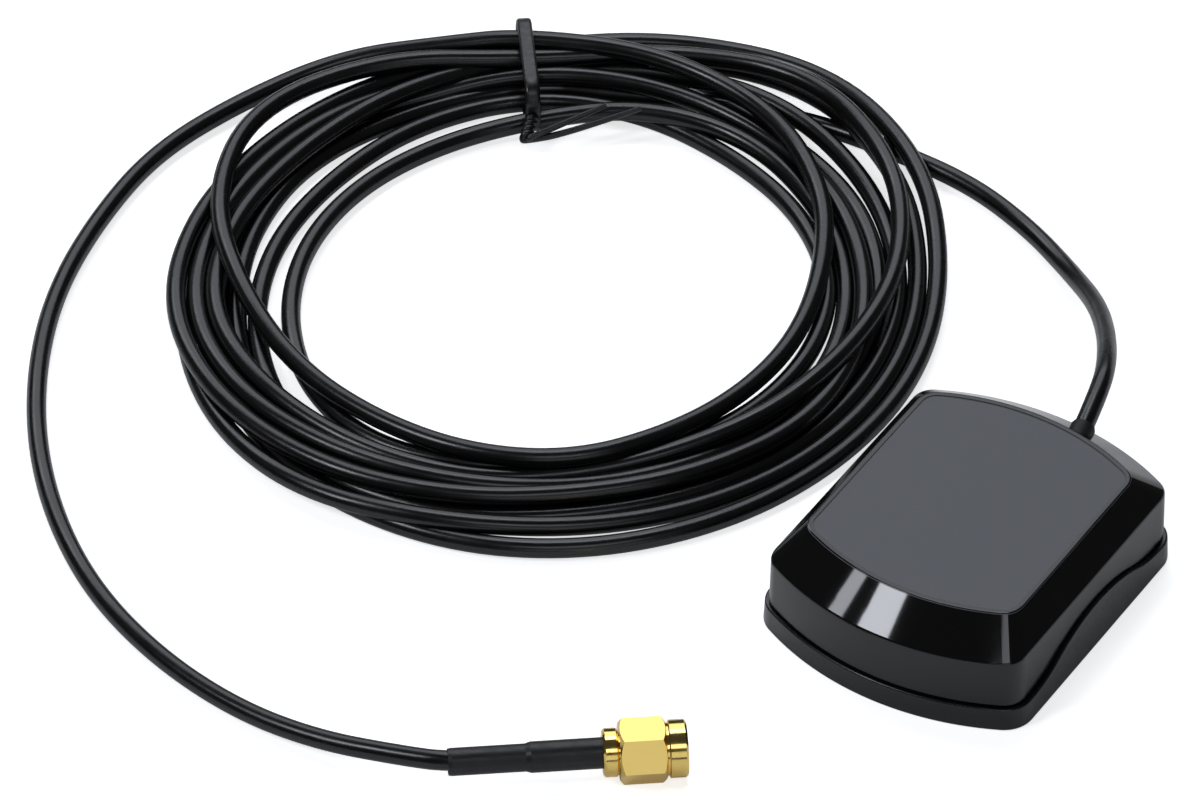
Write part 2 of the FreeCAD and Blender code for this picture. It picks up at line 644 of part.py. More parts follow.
def cable_coil():
    """The ring that the loose turns fill, one closed solid."""
    ring = Part.Face(coil_loop(COIL_OUTER)).extrude(UP * COIL_HEIGHT)
    ring = ring.cut(Part.Face(coil_loop(COIL_INNER)).extrude(UP * COIL_HEIGHT))
    rims = [e for e in ring.Edges if e.BoundBox.ZMin > COIL_HEIGHT - 1e-3]
    ring = ring.makeChamfer(COIL_ROUND, rims)
    outer, inner = tie_blocks(EASY)
    return ring.cut(outer).fuse(ring.common(inner))


def tie_outline(grow, width):
    """Rounded rectangle round the bundle in the plane across it: x is outwards, y is up."""
    x0, x1 = TIE_NEAR - grow, TIE_FAR + grow
    y0, y1 = TIE_THICK - grow, TIE_TOP + grow
    block = Part.makeBox(x1 - x0, y1 - y0, width, V(x0, y0, -width / 2))
    across = [e for e in block.Edges if abs(e.BoundBox.ZLength - width) < 1e-4]
    return block.makeFillet(TIE_CORNER + grow, across)


def tie_blocks(spare):
    """Outside and inside of the loop round the bundle; spare widens the space between them."""
    angle = math.radians(TIE_ANGLE)
    outwards = V(math.cos(angle), math.sin(angle), 0)
    place = FreeCAD.Placement(COIL_CENTRE, FreeCAD.Rotation(outwards, UP, V(0, 0, 0), "XYZ"))
    blocks = []
    for grow in (TIE_THICK + spare, -spare):
        block = tie_outline(grow, TIE_WIDTH + 2 * spare)
        block.Placement = place
        blocks.append(block)
    return blocks


def twist_tie():
    near, far = [coil_point(*end) for end in KNOT]
    twist = Part.makeCylinder(KNOT_RADIUS, (far - near).Length, near, far - near)
    root = far + (near - far) * TAIL_ROOT
    tails = []
    for end in TAIL_ENDS:
        tip = coil_point(*end)
        tails.append(Part.makeCylinder(TAIL_RADIUS, (tip - root).Length, root, tip - root))
    outer, inner = tie_blocks(0)
    return joined([outer.cut(inner), twist] + tails)


def plug_place(shape):
    """Turn a shape made along +X from the sleeve's cable end to where the plug lies."""
    corner, end = V(*FREE_ROUTE[-2]), V(*FREE_ROUTE[-1])
    axis = (end - corner).normalize()
    shape.rotate(V(0, 0, 0), UP, math.degrees(math.atan2(axis.y, axis.x)))
    shape.translate(corner - axis * BEND_IN_SLEEVE)
    return shape


def jacket_join():
    """Where the lead's last run ends, as a distance along the plug."""
    return BEND_IN_SLEEVE + (V(*FREE_ROUTE[-1]) - V(*FREE_ROUTE[-2])).Length


def turned(profile):
    """Solid of revolution about the plug's axis from (distance, radius) points."""
    points = [V(x, r, 0) for x, r in profile]
    face = Part.Face(Part.makePolygon(points + points[:1]))
    return face.revolve(V(0, 0, 0), V(1, 0, 0), 360)


def sleeve():
    lip_length, lip_depth = MOUTH_LIP
    step_end = SLEEVE_STEP + SLEEVE_TAPER
    inner_step = step_end + SLEEVE_SHEET
    return turned([
        (0, MOUTH_BORE), (0, SLEEVE_RADIUS - lip_depth), (lip_length, SLEEVE_RADIUS),
        (SLEEVE_STEP, SLEEVE_RADIUS), (step_end, SLEEVE_WIDE_RADIUS), (SLEEVE_END, SLEEVE_WIDE_RADIUS),
        (SLEEVE_END, FERRULE_RADIUS + SLIP), (inner_step, FERRULE_RADIUS + SLIP), (inner_step, CABLE_BORE),
        (MOUTH_DEEP, CABLE_BORE)])


def ferrule():
    end = SLEEVE_END - FERRULE_GAP
    return turned([(FERRULE_START, FERRULE_BORE), (FERRULE_START, FERRULE_RADIUS),
                   (end, FERRULE_RADIUS), (end, FERRULE_BORE)])


def connector_body():
    groove = NECK_RADIUS - BODY_GROOVE
    return turned([
        (STEM_START, STEM_BORE), (STEM_START, STEM_RADIUS), (SLEEVE_END, STEM_RADIUS),
        (SLEEVE_END, COLLAR_RADIUS - TURNED_EDGE), (SLEEVE_END + TURNED_EDGE, COLLAR_RADIUS),
        (COLLAR_END - TURNED_EDGE, COLLAR_RADIUS), (COLLAR_END, COLLAR_RADIUS - TURNED_EDGE),
        (COLLAR_END, NECK_RADIUS), (RING_START, NECK_RADIUS), (RING_START, groove), (RING_END, groove),
        (RING_END, NECK_RADIUS), (THREAD_START, NECK_RADIUS), (THREAD_START, LIP_RADIUS), (FACE, LIP_RADIUS),
        (FACE, INSULATOR_RADIUS + SLIP), (BODY_BORE_START, INSULATOR_RADIUS + SLIP),
        (BODY_BORE_START, STEM_BORE)])


def coupling_nut():
    peak = NUT_FLATS / 2 / math.cos(math.radians(30))
    tips = [V(NUT_START, peak * math.cos(math.radians(60 * k)), peak * math.sin(math.radians(60 * k)))
            for k in range(6)]
    hexagon = Part.Face(Part.makePolygon(tips + tips[:1])).extrude(V(NUT_HEX_END - NUT_START, 0, 0))
    along, across = NUT_CHAMFER
    chamfer = turned([(NUT_START, 0), (NUT_START, peak - across), (NUT_START + along, peak),
                      (NUT_HEX_END - along, peak), (NUT_HEX_END, peak - across), (NUT_HEX_END, 0)])
    ring_neck = NUT_RING_RADIUS - NUT_NECK
    ring = turned([(NUT_HEX_END, 0), (NUT_HEX_END, ring_neck), (NUT_HEX_END + TURNED_EDGE, ring_neck),
                   (NUT_HEX_END + NUT_NECK_END, NUT_RING_RADIUS), (NUT_END - TURNED_EDGE, NUT_RING_RADIUS),
                   (NUT_END, NUT_RING_RADIUS - TURNED_EDGE), (NUT_END, 0)])
    return hexagon.common(chamfer).fuse(ring).cut(turned(nut_bore())).removeSplitter()


def nut_bore():
    """Outline of what is turned out of the nut: the neck's bore, the ring's groove and the thread."""
    neck = NECK_RADIUS + NUT_CLEARANCE
    groove = neck + NUT_GROOVE
    bore = [(NUT_START - 1, 0), (NUT_START - 1, neck), (RING_START, neck), (RING_START, groove),
            (RING_END, groove), (RING_END, neck), (THREAD_START, neck), (THREAD_START, THREAD_RELIEF)]
    start = THREAD_START + THREAD_LEAD
    bore.append((start - THREAD_CONE, THREAD_RELIEF))
    while start + THREAD_PITCH < NUT_END - THREAD_LAST:
        bore += [(start, THREAD_RADIUS), (start + THREAD_PITCH / 2, THREAD_RADIUS + THREAD_DEPTH)]
        start += THREAD_PITCH
    along, across = MOUTH_CHAMFER
    beyond = NUT_END + FERRULE_GAP
    return bore + [(start, THREAD_RADIUS), (NUT_END - along, THREAD_RADIUS), (beyond, THREAD_RADIUS + across),
                   (beyond, 0)]


def retaining_ring():
    start, end = RING_START + RING_SPARE, RING_END - RING_SPARE
    ring = turned([(start, NECK_RADIUS - RING_HALF), (start, NECK_RADIUS + RING_HALF),
                   (end, NECK_RADIUS + RING_HALF), (end, NECK_RADIUS - RING_HALF)])
    return ring.cut(box(start - 1, -RING_SLIT, 0, end + 1, RING_SLIT, REACH))


def centre_contact():
    along, across = PIN_NOSE
    return turned([
        (BARREL_START, CONDUCTOR_RADIUS), (BARREL_START, BARREL_RADIUS), (BARREL_END, BARREL_RADIUS),
        (BARREL_END, PIN_NECK), (FACE, PIN_NECK), (FACE, PIN_RADIUS), (PIN_END - along, PIN_RADIUS),
        (PIN_END, PIN_RADIUS - across), (PIN_END, 0), (CUP_END, 0), (CUP_END, CONDUCTOR_RADIUS)])


def plug_insulator():
    cable, neck, barrel = DIELECTRIC_RADIUS + GLAND_SPARE, PIN_NECK + SLIP, BARREL_RADIUS + SLIP
    return turned([
        (INSULATOR_START, cable), (INSULATOR_START, INSULATOR_RADIUS), (FACE, INSULATOR_RADIUS), (FACE, neck),
        (BARREL_END + SLIP, neck), (BARREL_END + SLIP, barrel), (DIELECTRIC_END, barrel),
        (DIELECTRIC_END, cable)])


def plug_gasket():
    start = THREAD_START + EASY
    inner, outer = LIP_RADIUS + SNUG, THREAD_RADIUS - GASKET_SPARE
    return ring_between(start, start + GASKET_LENGTH, inner, outer)


def ring_between(start, end, inner, outer):
    return turned([(start, inner), (start, outer), (end, outer), (end, inner)])


def plug_pieces():
    return {
        "heat_shrink_sleeve": sleeve(),
        "crimp_ferrule": ferrule(),
        "connector_body": connector_body(),
        "coupling_nut": coupling_nut(),
        "retaining_ring": retaining_ring(),
        "plug_gasket": plug_gasket(),
        "plug_insulator": plug_insulator(),
        "centre_contact": centre_contact(),
        "plug_braid": ring_between(STEM_START, SLEEVE_END - BRAID_GAP,
                                   STEM_RADIUS + SLIP, FERRULE_BORE - SLIP),
        "plug_jacket": ring_between(jacket_join(), JACKET_END, 0, CABLE_RADIUS),
        "plug_dielectric": ring_between(JACKET_END, DIELECTRIC_END, CONDUCTOR_RADIUS, DIELECTRIC_RADIUS),
        "plug_conductor": ring_between(JACKET_END, CONDUCTOR_END, 0, CONDUCTOR_RADIUS - SLIP),
    }


def main():
    os.makedirs("parts", exist_ok=True)
    save("top_cover", top_cover())
    save("base_cover", base_cover())
    save("perimeter_seal", seal_band(0))
    save("base_pad", base_pad())
    save("base_screws", base_screws())
    save("magnet_front", magnet(-1))
    save("magnet_rear", magnet(1))
    save("circuit_board", circuit_board())
    stack, stack_top = antenna_stack()
    for name, shape in stack.items():
        save(name, shape)
    pin = feed_pin(stack_top)
    save("feed_pin", pin)
    save("shield_can", shield_can())
    for name, shape in board_parts().items():
        save(name, shape)
    inside = cable_inside()
    for name, shape in inside.items():
        save(name, shape)
    save("solder_joints", solder_joints([pin, inside["cable_braid"], inside["cable_dielectric"],
                                         inside["cable_conductor"]]))
    save("cable_lead", cable_tube("cable_lead", LEAD_ROUTE))
    save("cable_coil", cable_coil())
    save("cable_free_end", cable_tube("cable_free_end", FREE_ROUTE))
    save("twist_tie", twist_tie())
    for name, shape in plug_pieces().items():
        save(name, plug_place(shape))


main()
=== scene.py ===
"""Looks of a magnetic satellite-positioning antenna: a puck-shaped housing, a thin coaxial lead
wound in a loose coil and held by a twist tie, and a gold threaded plug.

The lead and the tie are made here. The covers, the sleeve, the plug and all that is inside them are
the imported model's own meshes, and only get their finishes.

Everything is in metres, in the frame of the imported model: +Z up, +Y towards the end of the puck
that the lead leaves. Lengths that are easier to read in millimetres are written so and times MM.
"""

import math

import bmesh
import bpy
import numpy as np
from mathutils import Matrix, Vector


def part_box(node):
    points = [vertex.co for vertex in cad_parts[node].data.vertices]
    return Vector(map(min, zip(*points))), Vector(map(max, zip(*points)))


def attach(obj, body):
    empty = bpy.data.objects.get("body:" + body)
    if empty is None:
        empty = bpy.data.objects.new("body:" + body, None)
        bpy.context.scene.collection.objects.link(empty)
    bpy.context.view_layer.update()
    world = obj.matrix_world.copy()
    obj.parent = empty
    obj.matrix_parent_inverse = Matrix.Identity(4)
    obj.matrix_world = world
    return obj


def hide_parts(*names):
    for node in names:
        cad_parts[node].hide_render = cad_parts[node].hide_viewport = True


bl_info = {
    "name": "Positioning antenna",
    "version": (1, 0, 0),
    "blender": (4, 5, 0),
    "location": "3D View > Sidebar > Antenna",
    "description": "Builds the lead, the twist tie and every finish of a positioning antenna",
    "category": "Object",
}

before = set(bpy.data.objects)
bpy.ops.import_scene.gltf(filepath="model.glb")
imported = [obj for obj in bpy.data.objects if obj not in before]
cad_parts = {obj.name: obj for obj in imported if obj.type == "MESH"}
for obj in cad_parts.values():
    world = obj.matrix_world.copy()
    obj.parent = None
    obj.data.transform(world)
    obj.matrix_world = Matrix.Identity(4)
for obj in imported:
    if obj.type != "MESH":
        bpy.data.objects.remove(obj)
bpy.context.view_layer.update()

MM = 0.001
BODY = "antenna"                       # all but the coupling nut


# ---- the top cover: where its three finishes meet, and how rough two of them are

COVER_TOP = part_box("top_cover")[1].z
PANEL_SINK = 0.12 * MM                 # the textured panel lies this far under its polished rim
PANEL_EVENNESS = 0.03 * MM             # the panel's height is told apart from the rim's within this
BEVEL_DROP = 4.4 * MM                  # the bevel's height, from the rim down to the wall
BEVEL_FADE = 0.3 * MM                  # the polish fades out over this height
PANEL_ROUGHNESS = 0.52
BEVEL_ROUGHNESS = 0.05
NOISE_RANGE = (0.3, 0.7)               # where most values of a noise texture lie


# ---- the lead in millimetres, as control points of its line

# from the hole in the housing down to the coil
LEAD_ROUTE = [
    (4.5, 23.35, 14.1), (3.4, 29.6, 15.6), (0.8, 36.2, 14.5), (-4.2, 45.0, 11.0),
    (-10.5, 53.5, 7.2), (-19.0, 61.5, 3.0), (-29.8, 68.3, 1.5), (-42.0, 72.3, 1.5), (-56.0, 72.8, 1.5),
]
# on below the turns, towards the tie
UNDER_COIL = [(-69.8, 71.0, 1.5), (-84.6, 67.5, 1.5), (-97.5, 61.5, 1.5)]
# off the top of the coil and round to the sleeve at the plug
FREE_ROUTE = [
    (-120.0, 53.5, 6.2), (-133.0, 45.0, 3.8), (-141.5, 30.5, 1.8), (-145.5, 14.5, 1.5),
    (-144.0, -2.0, 1.5), (-140.0, -18.0, 1.5), (-133.0, -32.5, 1.5), (-123.5, -46.0, 1.5),
    (-112.0, -57.5, 1.5), (-99.0, -66.5, 1.5), (-84.5, -72.3, 1.5), (-70.0, -74.9, 1.5),
    (-57.0, -74.6, 2.2), (-45.0, -72.0, 3.4), (-38.6, -70.1, 4.0), (-33.9, -66.5, 4.0),
]
COIL_CENTRE = (-79.1, 18.7)
TIE_ANGLE = 127.5                      # from the coil's centre to the tie, in degrees from +X
# each turn's distance from the coil's centre in millimetres, at eight places 45 degrees apart, the
# first of them at the tie
TURNS = [
    (47.5, 46.5, 45.0, 48.5, 45.0, 46.0, 49.0, 52.0),
    (50.0, 49.0, 51.0, 46.0, 38.0, 40.5, 41.5, 43.5),
    (38.5, 37.0, 37.5, 39.5, 35.5, 36.5, 39.0, 40.0),
    (44.5, 41.0, 42.5, 46.0, 42.5, 43.5, 46.5, 48.5),
    (52.5, 50.0, 47.5, 51.5, 52.0, 51.5, 54.5, 62.0),
    (51.5, 50.5, 54.0, 49.5, 43.0, 45.0, 44.0, 46.5),
    (47.0, 52.0, 52.5, 53.5, 48.0, 48.5, 51.5, 57.5),
    (50.5, 48.0, 48.5, 42.5, 36.5, 41.0, 49.0, 58.0),
    (48.5, 56.5, 43.5, 37.0, 37.0, 34.0, 38.0, 48.0),
]
COIL_END = 50.5                        # the free end's distance from the centre, back at the tie
# how high each turn is wound before it settles, in millimetres: it decides which turn lies over which
WOUND_HEIGHTS = [2.2, 4.8, 2.0, 1.5, 2.8, 5.5, 4.2, 6.8, 8.1]
POINTS_PER_TURN = 16                   # control points
FLOOR_GAP = 0.1                        # the jacket's lowest line above the floor, as on the route


# ---- the tie in millimetres: a strap round the bundle, a knot inside the coil and two tails
# Places on it are given as degrees past the tie, distance from the coil's centre and height.

STRAP_NEAR, STRAP_FAR = 36.8, 56.0     # its inner and outer side, from the coil's centre
STRAP_LOW, STRAP_HIGH = 0.1, 9.4       # its underside and top, above the floor
STRAP_CORNER = 3.4                     # how far from its corners it starts to bend
KNOT_START, KNOT_END = (0.0, 37.6, 4.6), (2.5, 32.8, 3.8)
KNOT_TURNS = 2.5
KNOT_POINTS = 31                       # on each strand
KNOT_SPREAD = 0.55                     # from the knot's axis to the middle of a strand
STRAND_RADIUS, TIP_RADIUS = 0.5, 0.4
STRIP_ROUNDING = 0.45                  # of its edges, as a share of its thickness
TAILS = [
    [(-3.0, 33.2, 5.0), (-16.5, 37.0, 7.2)],
    [(-8.0, 33.0, 4.6), (-24.5, 37.2, 7.6)],
]


# ---- the stage

CAMERA_AIM = (-62.35, 4.43, 0)         # millimetres, between the coil and the housing
FLOOR_SIZE = 8.0
PAPER_GLOW = 0.7                       # light that the paper adds where the camera sees it
MIRRORED_GLOW = 0.1                    # how much of it polished surfaces see
WORLD_STRENGTH = 0.05
LAMP_AIM = (-0.03, 0, 0)
LAMP_COLOUR = "#F3F7FF"                # daylight, slightly cool
# name, place, width and height in metres, power in watts
LAMPS = [
    ("rear_card", (-0.62, 0.98, 0.95), 1.1, 0.9, 5.2),         # grey of the panel, nut's upper flat
    ("top_softbox", (-0.40, 0.56, 1.44), 0.5, 0.5, 3.4),       # highlights along the lead
    ("left_softbox", (-1.15, 0.42, 0.95), 0.5, 0.5, 2.5),      # left bevel and the coil's left side
    ("front_card", (0.95, -1.08, 0.48), 1.0, 0.6, 1.5),        # walls and the nut's front flat
    ("front_lamp", (0.60, -0.74, 1.18), 0.7, 0.4, 1.9),        # strip on the bevel's front corner
    ("window", (-0.575, -0.885, 1.24), 0.23, 0.5, 4.7),        # wide pane mirrored by the front bevel
    ("side_window", (-0.80, -0.72, 1.20), 0.11, 0.40, 1.0),    # narrow pane beside it
]


# ---- helpers

def linear(code):
    """Linear red, green, blue and alpha of an sRGB colour such as #1A1A1A."""
    parts = [int(code[i:i + 2], 16) / 255 for i in (1, 3, 5)]
    return tuple(p / 12.92 if p <= 0.04045 else ((p + 0.055) / 1.055) ** 2.4 for p in parts) + (1.0,)


def repeats(size):
    """Scale of a pattern whose marks are that many millimetres across."""
    return 1 / (size * MM)


def add_node(tree, kind, inputs=None, **settings):
    """Add a node with its settings; each of inputs is a value, or a socket to link."""
    node = tree.nodes.new(kind)
    for name, value in settings.items():
        setattr(node, name, value)
    for name, value in (inputs or {}).items():
        if isinstance(value, bpy.types.NodeSocket):
            tree.links.new(value, node.inputs[name])
        else:
            node.inputs[name].default_value = value
    return node


def surface(name, roughness, patch, grain, depth, **constants):
    """A material with one shader, its node tree, and the shader for what is particular to it.

    Its roughness wanders between two values in patches of patch millimetres, over a fine relief whose
    marks are grain millimetres across and depth millimetres deep. Marks under about 0.2 mm would not
    show, so the finest moulding and blasting marks are drawn that coarse.
    """
    material = bpy.data.materials.new(name)
    material.use_nodes = True
    tree = material.node_tree
    tree.nodes.clear()
    place = add_node(tree, "ShaderNodeTexCoord").outputs["Object"]
    patches = add_node(tree, "ShaderNodeTexNoise", {
        "Vector": place, "Scale": repeats(patch), "Detail": 3.0})
    wander = add_node(tree, "ShaderNodeMapRange", {
        "Value": patches.outputs["Fac"], "From Min": NOISE_RANGE[0], "From Max": NOISE_RANGE[1],
        "To Min": roughness[0], "To Max": roughness[1]})
    marks = add_node(tree, "ShaderNodeTexNoise", {
        "Vector": place, "Scale": repeats(grain), "Detail": 2.0})
    relief = add_node(tree, "ShaderNodeBump", {
        "Height": marks.outputs["Fac"], "Strength": 1.0, "Distance": depth * MM})
    shader = add_node(tree, "ShaderNodeBsdfPrincipled", {
        "Roughness": wander.outputs["Result"], "Normal": relief.outputs["Normal"],
        **{key.replace("_", " "): value for key, value in constants.items()}})
    add_node(tree, "ShaderNodeOutputMaterial", {"Surface": shader.outputs["BSDF"]})
    return material, tree, shader


def finish(materials):
    """Give each named CAD node its material."""
    for node, material in materials.items():
        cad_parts[node].material_slots[0].material = material


# ---- what a user would change

class LeadSettings(bpy.types.PropertyGroup):
    """Size and colour of the lead"""

    diameter: bpy.props.FloatProperty(
        name="Diameter", description="Outside diameter of the lead's jacket",
        default=2.8 * MM, unit="LENGTH")
    jacket: bpy.props.FloatVectorProperty(
        name="Jacket", description="Colour of the lead's jacket",
        size=4, subtype="COLOR", default=linear("#0B0B0C"))


class TieSettings(bpy.types.PropertyGroup):
    """Size and colour of the tie"""

    width: bpy.props.FloatProperty(
        name="Width", description="Width of the tie's strip",
        default=2.2 * MM, unit="LENGTH")
    thickness: bpy.props.FloatProperty(
        name="Thickness", description="Thickness of the tie's strip",
        default=1.0 * MM, unit="LENGTH")
    colour: bpy.props.FloatVectorProperty(
        name="Colour", description="Colour of the tie's coating",
        size=4, subtype="COLOR", default=linear("#0E0E0F"))


class HousingSettings(bpy.types.PropertyGroup):
    """Finish of the two covers"""

    shell: bpy.props.FloatVectorProperty(
        name="Shell", description="Colour of both covers",
        size=4, subtype="COLOR", default=linear("#0C0C0D"))
    # painted sheen: the panel's base colour is lighter than the shell's black, standing in for the grey
    # that its eroded grain reflects
    panel: bpy.props.FloatVectorProperty(
        name="Panel", description="Colour that the textured panel scatters",
        size=4, subtype="COLOR", default=linear("#56585D"))
    panel_grain: bpy.props.FloatProperty(
        name="Panel grain", description="Size of the texture on the top panel",
        default=0.35 * MM, unit="LENGTH")


class PlugSettings(bpy.types.PropertyGroup):
    """Colours at the plug"""

    gold: bpy.props.FloatVectorProperty(
        name="Gold", description="Colour of the plug's plating",
        size=4, subtype="COLOR", default=linear("#F2D27A"))
    sleeve: bpy.props.FloatVectorProperty(
        name="Sleeve", description="Colour of the heat-shrink sleeve",
        size=4, subtype="COLOR", default=linear("#0D0D0D"))


class StageSettings(bpy.types.PropertyGroup):
    """Where the camera stands, and the floor"""

    azimuth: bpy.props.FloatProperty(
        name="Azimuth", description="How far the camera stands round to the right",
        default=math.radians(32.49), subtype="ANGLE")
    elevation: bpy.props.FloatProperty(
        name="Elevation", description="How high the camera stands",
        default=math.radians(41.88), subtype="ANGLE")
    distance: bpy.props.FloatProperty(
        name="Distance", description="From the camera to what it looks at",
        default=1.1397, unit="LENGTH")
    lens: bpy.props.FloatProperty(
        name="Lens", description="Focal length in millimetres",
        default=243.35, unit="CAMERA")
    floor: bpy.props.FloatVectorProperty(
        name="Floor", description="Colour of the floor",
        size=4, subtype="COLOR", default=linear("#FFFFFF"))


# ---- materials

def polished_abs(settings):
    """ABS, moulded in one shot: spark-eroded panel, mirror-polished rim and bevel, satin walls.
    The panel's even grey is partly a painted sheen, a base colour lighter than the shell's black; the
    bevel stays black with sharp reflections.
    The eroded grain is coarser than a real one, so that it shows."""
    material, tree, shader = surface(
        "polished_abs", roughness=(0.20, 0.26), patch=4.0, grain=settings.panel_grain / MM, depth=0.006,
        Base_Color=settings.shell, IOR=1.53)
    place = add_node(tree, "ShaderNodeTexCoord").outputs["Object"]
    height = add_node(tree, "ShaderNodeSeparateXYZ", {"Vector": place}).outputs["Z"]
    on_panel = add_node(tree, "ShaderNodeMath", {
        0: height, 1: COVER_TOP - PANEL_SINK, 2: PANEL_EVENNESS}, operation="COMPARE").outputs["Value"]
    bevel_foot = COVER_TOP - BEVEL_DROP
    on_wall = add_node(tree, "ShaderNodeMapRange", {
        "Value": height, "From Min": bevel_foot, "From Max": bevel_foot - BEVEL_FADE}).outputs["Result"]
    wall = shader.inputs["Roughness"].links[0].from_socket
    off_panel = add_node(tree, "ShaderNodeMix", {
        "Factor": on_wall, "A": BEVEL_ROUGHNESS, "B": wall}).outputs["Result"]
    rough = add_node(tree, "ShaderNodeMix", {
        "Factor": on_panel, "A": off_panel, "B": PANEL_ROUGHNESS}).outputs["Result"]
    tree.links.new(rough, shader.inputs["Roughness"])
    # painted sheen: the panel gets a lighter base colour than the shell, in place of the grey that its
    # grain reflects
    colour = add_node(tree, "ShaderNodeMix", {
        "Factor": on_panel, "A": settings.shell, "B": settings.panel}, data_type="RGBA")
    tree.links.new(colour.outputs["Result"], shader.inputs["Base Color"])
    grainy = add_node(tree, "ShaderNodeMath", {0: on_panel, 1: on_wall}, operation="MAXIMUM")
    relief = shader.inputs["Normal"].links[0].from_node
    tree.links.new(grainy.outputs["Value"], relief.inputs["Strength"])
    return material


def satin_abs(settings):
    """ABS, moulded in a finely blasted tool: a deep black that catches light along its edges."""
    return surface("satin_abs", roughness=(0.22, 0.30), patch=3.0, grain=0.3, depth=0.006,
                   Base_Color=settings.shell, IOR=1.53)[0]


def extruded_pvc(settings):
    """Soft PVC, extruded over the braid: nearly black, with a long highlight that wavers a little."""
    return surface("extruded_pvc", roughness=(0.22, 0.30), patch=6.0, grain=1.4, depth=0.015,
                   Base_Color=settings.jacket, IOR=1.53)[0]


def coated_wire(settings):
    """PVC-coated tie wire: a soft satin black, scuffed by being twisted."""
    return surface("coated_wire", roughness=(0.25, 0.42), patch=0.8, grain=0.5, depth=0.02,
                   Base_Color=settings.colour, IOR=1.53)[0]


def shrunk_polyolefin(settings):
    """Polyolefin tubing shrunk with hot air: dull black with shallow ripples where it gripped."""
    return surface("shrunk_polyolefin", roughness=(0.36, 0.50), patch=2.0, grain=1.6, depth=0.06,
                   Base_Color=settings.sleeve, IOR=1.5)[0]


def gold_plate(settings):
    """Gold flash over turned brass: bright yellow, with hazy edges to its reflections."""
    return surface("gold_plate", roughness=(0.10, 0.17), patch=1.0, grain=0.4, depth=0.003,
                   Base_Color=settings.gold, Metallic=1.0)[0]


def soft_rubber():
    """Moulded rubber of the seal and the gland: charcoal, too dull for a clear highlight."""
    return surface("soft_rubber", roughness=(0.5, 0.65), patch=1.6, grain=0.4, depth=0.02,
                   Base_Color=linear("#101011"))[0]


def foam_rubber():
    """Cellular rubber of the base pad: a dull grey-black, pitted by its open cells."""
    return surface("foam_rubber", roughness=(0.75, 0.9), patch=2.0, grain=0.5, depth=0.06,
                   Base_Color=linear("#161617"))[0]


def nickel_plate():
    """Nickel over sintered magnets: a warm grey mirror, slightly orange-peeled."""
    return surface("nickel_plate", roughness=(0.16, 0.24), patch=2.0, grain=0.8, depth=0.008,
                   Base_Color=linear("#C9C5BC"), Metallic=1.0)[0]


def zinc_steel():
    """Zinc-plated screws: a cool pale grey, dulled by tumbling."""
    return surface("zinc_steel", roughness=(0.30, 0.42), patch=1.2, grain=0.3, depth=0.006,
                   Base_Color=linear("#A8A9AC"), Metallic=1.0)[0]


def fired_silver():
    """Silver paste fired on the ceramic: pale and matt, with the weave of the printing screen."""
    return surface("fired_silver", roughness=(0.36, 0.48), patch=1.2, grain=0.3, depth=0.01,
                   Base_Color=linear("#D6D3CC"), Metallic=1.0)[0]


def bright_solder():
    """Lead-free solder: a wavy silver shine that marks every joint."""
    return surface("bright_solder", roughness=(0.18, 0.30), patch=1.0, grain=0.6, depth=0.02,
                   Base_Color=linear("#BFC1C6"), Metallic=1.0)[0]


def tinned_sheet():
    """Tin-plated steel of the shield can: a soft grey mirror, mottled by the tin."""
    return surface("tinned_sheet", roughness=(0.26, 0.38), patch=3.0, grain=0.8, depth=0.01,
                   Base_Color=linear("#C0C1C2"), Metallic=1.0)[0]


def moulded_epoxy():
    """Epoxy of the packaged chips: blue-black and evenly matt."""
    return surface("moulded_epoxy", roughness=(0.45, 0.55), patch=0.8, grain=0.2, depth=0.01,
                   Base_Color=linear("#17181A"))[0]


def fired_chip_ceramic():
    """Barium titanate of the chip parts: tan with a dry sheen."""
    return surface("fired_chip_ceramic", roughness=(0.42, 0.56), patch=0.8, grain=0.2, depth=0.01,
                   Base_Color=linear("#A89880"))[0]


def unglazed_ceramic():
    """The patch's ceramic: chalky cream, rough where it was ground."""
    return surface("unglazed_ceramic", roughness=(0.6, 0.8), patch=1.5, grain=0.3, depth=0.02,
                   Base_Color=linear("#C9BFA8"))[0]


def green_laminate():
    """Glass-epoxy board under green lacquer: glossy green over the weave of the glass."""
    return surface("green_laminate", roughness=(0.28, 0.40), patch=2.5, grain=0.6, depth=0.01,
                   Base_Color=linear("#1F6B3C"))[0]


def adhesive_foam():
    """Double-sided foam under the patch: off-white and dull."""
    return surface("adhesive_foam", roughness=(0.7, 0.9), patch=1.2, grain=0.3, depth=0.03,
                   Base_Color=linear("#E4E2DA"))[0]


def tinned_braid():
    """Braid of tinned copper: a coarse glitter between silver and copper."""
    return surface("tinned_braid", roughness=(0.28, 0.42), patch=0.6, grain=0.15, depth=0.05,
                   Base_Color=linear("#C49A6C"), Metallic=1.0)[0]


def white_polyethylene():
    """Polyethylene round the inner conductor: milky white and waxy."""
    return surface("white_polyethylene", roughness=(0.34, 0.46), patch=3.0, grain=1.0, depth=0.01,
                   Base_Color=linear("#ECEBE4"))[0]


def copper_clad_wire():
    """The inner conductor: bright copper, drawn smooth."""
    return surface("copper_clad_wire", roughness=(0.24, 0.34), patch=0.8, grain=0.2, depth=0.004,
                   Base_Color=linear("#D98E5F"), Metallic=1.0)[0]


def phosphor_bronze():
    """Spring bronze of the retaining ring: a brown metal that sets it off from the gold."""
    return surface("phosphor_bronze", roughness=(0.24, 0.36), patch=1.0, grain=0.3, depth=0.005,
                   Base_Color=linear("#B5793F"), Metallic=1.0)[0]


def silicone_rubber():
    """Silicone of the plug's gasket: dark and slightly oily."""
    return surface("silicone_rubber", roughness=(0.42, 0.56), patch=1.2, grain=0.4, depth=0.01,
                   Base_Color=linear("#1C1C1D"))[0]


